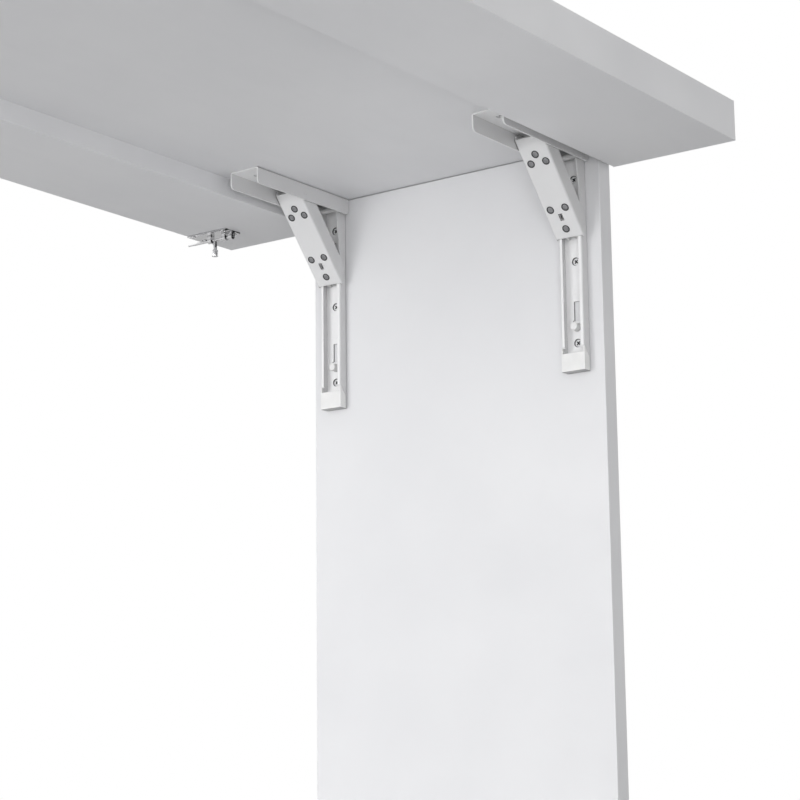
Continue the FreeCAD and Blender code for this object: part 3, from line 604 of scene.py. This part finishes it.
def wood_screws(node_name, new_name, body, inward):
    """Countersunk cross-drive screws with ridged shanks, one in each packed screw's place."""
    shape = Shape()
    side = inward.orthogonal().normalized()
    over = inward.cross(side)
    for points in islands(NODES[node_name]):
        low, high = span(points, inward)
        centre = middle(points)
        head = centre + inward * (low + SCREW_DEEPER - centre.dot(inward))
        length = (high - low - SCREW_DEEPER) / MM
        outline = [(0.1, length), (0.7, length - 0.8)]
        ridge = length - 1.6
        while ridge > SCREW_NECK:
            outline += [(SCREW_CREST, ridge), (SCREW_ROOT, ridge - SCREW_PITCH / 2.0)]
            ridge -= SCREW_PITCH
        outline += [(1.6, 2.6), (1.7, 1.7), (SCREW_HEAD - 0.12, 0.28), (SCREW_HEAD, 0.14),
                    (SCREW_HEAD - 0.05, 0.04), (SCREW_HEAD - 0.2, 0.0), (2.35, 0.0)]
        rings = [[head + (inward * depth + (side * math.cos(a) + over * math.sin(a)) * radius) * MM
                  for a in DRIVE_ANGLES] for radius, depth in outline]
        looks = [WHITE] * len(rings)
        for scale, depth in DRIVE_STEPS:
            rings.append([head + (inward * depth + (side * math.cos(a) + over * math.sin(a))
                                  * drive_reach(a) * scale) * MM for a in DRIVE_ANGLES])
            looks.append(BARE)
        shape.rings(rings, looks=looks)
    return shape.build(new_name, ("white_screw", "bare_rivet"), body, "white_screw", node_name)


SPRING_WIRE = 0.22 * MM               # radius
SPRING_TURNS = 5.6
SPRING_STEPS = 28                     # rings per turn
SPRING_CLOSING = 0.052                # how much closer the end coils lie
WIRE_ANGLES = [math.radians(36.0 * k) for k in range(10)]


def coil_spring(node_name, body):
    """Smooth coils with closed ends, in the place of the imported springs."""
    shape = Shape()
    along = Vector((1.0, 0.0, 0.0))
    for points in islands(NODES[node_name]):
        low, high = span(points, along)
        centre = middle(points)
        reach = (span(points, Vector(UP))[1] - centre.z) - SPRING_WIRE
        length = high - low - 2.0 * SPRING_WIRE
        count = int(SPRING_TURNS * SPRING_STEPS)
        rings = []
        for i in range(count + 1):
            part = i / count
            eased = part - SPRING_CLOSING * math.sin(2.0 * math.pi * part)
            climb = low + SPRING_WIRE + length * eased
            turn = 2.0 * math.pi * SPRING_TURNS * part
            outward = Vector((0.0, math.cos(turn), math.sin(turn)))
            heart = Vector((climb, centre.y, centre.z)) + outward * reach
            rings.append([heart + (outward * math.cos(a) + along * math.sin(a)) * SPRING_WIRE
                          for a in WIRE_ANGLES])
        shape.rings(rings)
    return shape.build(node_name.replace("button_springs", "coil_springs"), ("spring_steel",),
                       body, "spring_steel", node_name)


DOWEL_FLUTES = 24
DOWEL_FLUTE_DEPTH = 0.28 * MM


def fluted_dowels():
    """Fluted beech dowels with chamfered ends."""
    shape = Shape()
    for points in islands(NODES["rail_dowels"]):
        low, high = span(points, Vector(UP))
        centre = middle(points)
        base = Vector((centre.x, centre.y, low))
        length = (high - low) / MM
        profile = profile_of((0.1, 0.0, 0), (3.0, 0.02), (3.25, 0.12), (3.98, 1.0), (4.0, 1.4),
                             (4.0, length - 1.4), (3.98, length - 1.0),
                             (3.25, length - 0.12), (3.0, length - 0.02), (0.1, length))
        shape.lathe(base, Vector(UP), profile, 96, DOWEL_FLUTES, DOWEL_FLUTE_DEPTH)
    return shape.build("fluted_dowels", ("beech_dowel",), "top", "beech_dowel", "rail_dowels")


def turned_knob(side):
    """Slim-necked knob of a slide bolt."""
    node_name = f"{side}_bolt_knob"
    low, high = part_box(node_name)
    base = Vector(((low.x + high.x) / 2.0, (low.y + high.y) / 2.0, low.z))
    shape = Shape()
    profile = profile_of(
        (0.05, 0.14, 0), (1.6, 0.12), (2.3, 0.04), (2.65, 0.0), (2.9, 0.06), (3.1, 0.22),
        (3.19, 0.5), (3.19, 5.3), (3.14, 5.7), (2.98, 6.0), (2.72, 6.2), (2.4, 6.33),
        (2.14, 6.45), (2.02, 6.65), (1.98, 6.95), (1.98, 14.6), (1.9, 14.95),
        (1.7, 15.18), (0.7, 15.22), (0.68, 16.2), (0.5, 16.4), (0.05, 16.4))
    shape.lathe(base, Vector(UP), profile, 64)
    return shape.build(f"{side}_turned_knob", ("bolt_chrome",), f"{side}_bolt", "bolt_chrome",
                       node_name)


def small_hardware():
    for side in ("right", "left"):
        for end in ("front", "rear"):
            tubular_rivets(f"{end}_{side}_strut_rivets", f"{end}_{side}_strut")
        coil_spring(f"{side}_button_springs", f"{side}_leg")
        wood_screws(f"{side}_channel_screws", f"{side}_channel_wood_screws", f"{side}_leg",
                    Vector((1.0 if side == "right" else -1.0, 0.0, 0.0)))
        turned_knob(side)
    wood_screws("arm_screws", "arm_wood_screws", "top", Vector(UP))
    fluted_dowels()


# ---------------------------------------------------------------- studio
def studio_world():
    """White backdrop for the camera, soft light from three sides, a dark card in gloss."""
    world = bpy.data.worlds.new("studio")
    bpy.context.scene.world = world
    world.use_nodes = True
    tree = world.node_tree
    tree.nodes.clear()

    def add(kind):
        return tree.nodes.new("ShaderNode" + kind)

    def background(strength):
        node = add("Background")
        node.inputs["Color"].default_value = (1.0, 1.0, 1.0, 1.0)
        if isinstance(strength, float):
            node.inputs["Strength"].default_value = strength
        else:
            tree.links.new(strength, node.inputs["Strength"])
        return node.outputs["Background"]

    def facing(axis):
        dot = add("VectorMath")
        dot.operation = "DOT_PRODUCT"
        dot.inputs[1].default_value = axis
        tree.links.new(direction, dot.inputs[0])
        return dot.outputs["Value"]

    def combine(operation, first, second):
        node = add("Math")
        node.operation = operation
        for socket, value in zip(node.inputs, (first, second)):
            if isinstance(value, float):
                socket.default_value = value
            else:
                tree.links.new(value, socket)
        return node.outputs["Value"]

    def choose(ray, others, chosen):
        node = add("MixShader")
        tree.links.new(paths.outputs[ray], node.inputs["Fac"])
        tree.links.new(others, node.inputs[1])
        tree.links.new(chosen, node.inputs[2])
        return node.outputs["Shader"]

    direction = add("TexCoord").outputs["Generated"]
    paths = add("LightPath")
    soft = 0.0
    for axis, strength in SURROUND.items():
        lobe = combine("MULTIPLY", combine("MAXIMUM", facing(axis), 0.0), strength)
        soft = combine("ADD", lobe, soft)
    contrast = add("MapRange")
    contrast.interpolation_type = "SMOOTHSTEP"
    for socket, number in (("From Min", CARD_FADE[0]), ("From Max", CARD_FADE[1]),
                           ("To Min", 1.0), ("To Max", CARD_LIGHT)):
        contrast.inputs[socket].default_value = number
    tree.links.new(facing(DARK_CARD), contrast.inputs["Value"])
    lit = choose("Is Glossy Ray", background(soft), background(contrast.outputs["Result"]))
    output = add("OutputWorld")
    tree.links.new(choose("Is Camera Ray", lit, background(1.0)), output.inputs["Surface"])


FLOOR_REACH = 12.0


def floor():
    mesh = bpy.data.meshes.new("floor")
    reach = FLOOR_REACH
    mesh.from_pydata([(-reach, -reach, 0), (reach, -reach, 0), (reach, reach, 0),
                      (-reach, reach, 0)], [], [(0, 1, 2, 3)])
    plane = bpy.data.objects.new("floor", mesh)
    bpy.context.scene.collection.objects.link(plane)
    mesh.materials.append(floor_paint("floor_look"))


def area_light(name, place, target, size, power):
    data = bpy.data.lights.new(name, "AREA")
    data.shape = "RECTANGLE"
    data.size, data.size_y = size
    data.energy = power
    lamp = bpy.data.objects.new(name, data)
    lamp.location = place
    aim = (Vector(target) - Vector(place)).to_track_quat("-Z", "Y")
    lamp.rotation_euler = aim.to_euler()
    lamp.visible_camera = False
    bpy.context.scene.collection.objects.link(lamp)


def camera():
    data = bpy.data.cameras.new("camera")
    data.lens = CAMERA_LENS
    data.sensor_width = SENSOR
    data.clip_end = CAMERA_SIGHT
    eye = bpy.data.objects.new("camera", data)
    ahead = Vector((math.sin(CAMERA_YAW) * math.cos(CAMERA_PITCH),
                    math.cos(CAMERA_YAW) * math.cos(CAMERA_PITCH),
                    math.sin(CAMERA_PITCH)))
    right = ahead.cross(Vector(UP)).normalized()
    up = right.cross(ahead)
    turn = Matrix.Rotation(-CAMERA_ROLL, 3, ahead)
    right, up = turn @ right, turn @ up
    axes = Matrix((right, up, -ahead)).transposed()
    eye.matrix_world = Matrix.Translation(CORNER + CAMERA_FROM_CORNER) @ axes.to_4x4()
    bpy.context.scene.collection.objects.link(eye)
    bpy.context.scene.camera = eye


bpy.context.scene.view_settings.view_transform = "Standard"
dress_cad_nodes()
small_hardware()
studio_world()
floor()
for box_name, (box_place, box_size, box_power) in SOFT_BOXES.items():
    area_light(box_name, box_place, CORNER, box_size, box_power)
camera()
